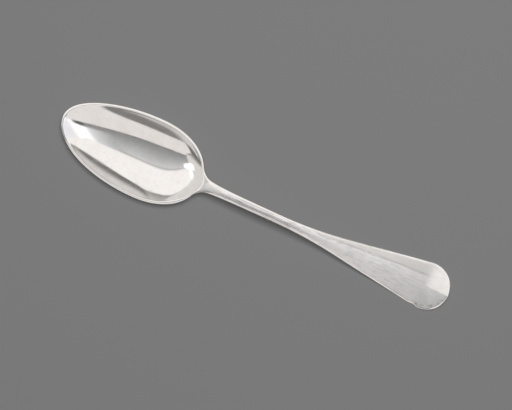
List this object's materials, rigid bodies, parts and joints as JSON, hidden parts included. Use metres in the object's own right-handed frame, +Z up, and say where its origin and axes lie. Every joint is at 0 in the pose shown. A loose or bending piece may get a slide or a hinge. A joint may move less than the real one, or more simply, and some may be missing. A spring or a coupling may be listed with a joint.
{
  "type": "table spoon",
  "caption": "Forged silver table spoon: egg-shaped bowl, slim arched stem and a flat handle that widens to a round turned-up end with a short rib.",
  "frame": {"origin": "middle of the spoon's outline in plan, at the surface that it lies on", "axes": "+X from the bowl's tip to the end of the handle, +Z up out of the bowl, +Y to the left when looking along +X with the bowl face up"},
  "size_m": [0.2026, 0.0398, 0.0153],
  "materials": {
    "silver": "polished silver in the bowl, satin and finely scratched on the handle"
  },
  "bodies": {
    "root": {"spoon": "silver"}
  },
  "joints": []
}
